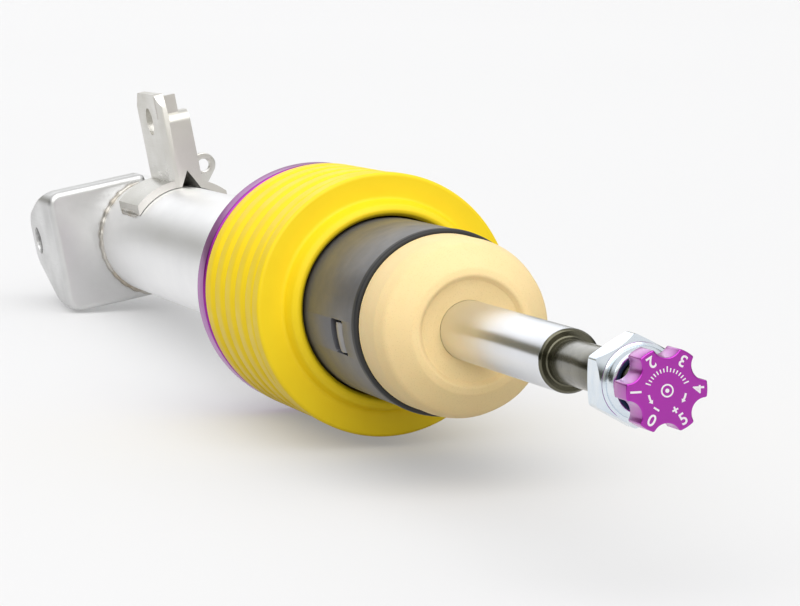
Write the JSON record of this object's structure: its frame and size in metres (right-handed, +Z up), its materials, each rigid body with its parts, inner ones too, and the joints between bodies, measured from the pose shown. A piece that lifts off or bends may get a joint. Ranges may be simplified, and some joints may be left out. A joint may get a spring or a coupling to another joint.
{
  "type": "coilover strut",
  "caption": "Threaded coilover damper strut with adjustable spring perch, bump stop, dust sleeve, adjuster knob and welded brackets, shown without its main spring.",
  "frame": {"origin": "middle of the underside of the object's box, on the surface the strut lies on", "axes": "+X towards the adjuster knob along the strut, +Z up; the strut's own axis rises 2.74 degrees towards +X"},
  "size_m": [0.679, 0.0966, 0.1029],
  "materials": {
    "anodised": "satin purple anodising",
    "zinc": "bright bluish zinc plating",
    "chrome": "ground and polished hard chrome",
    "foam": "cream microcellular polyurethane foam",
    "sleeve_plastic": "dark grey satin moulding",
    "rubber": "matt black rubber",
    "yellow": "satin yellow moulding",
    "stainless": "polished stainless steel",
    "plated": "pickled and polished steel sheet",
    "dark_steel": "phosphated steel",
    "cast_aluminium": "machined aluminium",
    "bearing": "bronze bush with a lined bore",
    "nylon": "dark blue nylon"
  },
  "bodies": {
    "housing": {"damper_tube": "stainless", "bottom_cap": "stainless", "gland_nut": "dark_steel", "rod_wiper": "rubber", "rod_seal": "rubber", "rod_guide": "cast_aluminium", "guide_bush": "bearing", "guide_o_ring": "rubber", "inner_cylinder": "stainless", "base_valve_body": "cast_aluminium", "base_valve_shims": "stainless", "base_valve_bolt": "zinc", "knuckle_bracket": "plated", "bracket_weld_nut": "plated", "arb_link_bracket": "plated", "hose_bracket": "plated"},
    "band": {"piston_band": "bearing"},
    "rod": {"piston_rod": "chrome", "top_nut": "zinc", "nut_insert": "nylon", "rebound_stop": "dark_steel", "backing_washer": "zinc", "rebound_shims": "stainless", "piston": "cast_aluminium", "compression_shims": "stainless", "piston_nut": "zinc"},
    "adjuster": {"adjuster_knob": "anodised", "adjuster_spindle": "dark_steel", "knob_grub_screw": "dark_steel"},
    "bump": {"bump_stop": "foam", "dust_sleeve": "sleeve_plastic", "sleeve_rim": "rubber"},
    "seat": {"spring_seat": "yellow"},
    "collar": {"perch_collar": "yellow"},
    "ring": {"lock_ring": "anodised", "lock_set_screw": "dark_steel"}
  },
  "joints": [
    {"name": "rod_stroke", "type": "slide", "parent": "housing", "child": "band", "axis": [0.9989, 0, 0.0478], "range_m": [-0.09, 0]},
    {"name": "rod_turn", "type": "hinge", "parent": "band", "child": "rod", "pos_m": [0.26068, 0.00126, 0.05965], "axis": [0.9989, 0, 0.0478], "continuous": true},
    {"name": "adjuster_turn", "type": "hinge", "parent": "rod", "child": "adjuster", "pos_m": [0.26068, 0.00126, 0.05965], "axis": [0.9989, 0, 0.0478], "range_deg": [0, 300]},
    {"name": "bump_slide", "type": "slide", "parent": "housing", "child": "bump", "axis": [0.9989, 0, 0.0478], "range_m": [0, 0.03]},
    {"name": "seat_height", "type": "slide", "parent": "housing", "child": "seat", "axis": [0.9989, 0, 0.0478], "range_m": [-0.04, 0.02]},
    {"name": "collar_turn", "type": "hinge", "parent": "seat", "child": "collar", "pos_m": [0.26068, 0.00126, 0.05965], "axis": [0.9989, 0, 0.0478], "range_deg": [-7200, 3600]},
    {"name": "lock_turn", "type": "hinge", "parent": "seat", "child": "ring", "pos_m": [0.26068, 0.00126, 0.05965], "axis": [0.9989, 0, 0.0478], "range_deg": [-7200, 3600]}
  ],
  "couplings": [
    {"joint": "seat_height", "follows": "collar_turn", "m_per_rad": 0.0003183},
    {"joint": "lock_turn", "follows": "collar_turn", "ratio": 1}
  ]
}
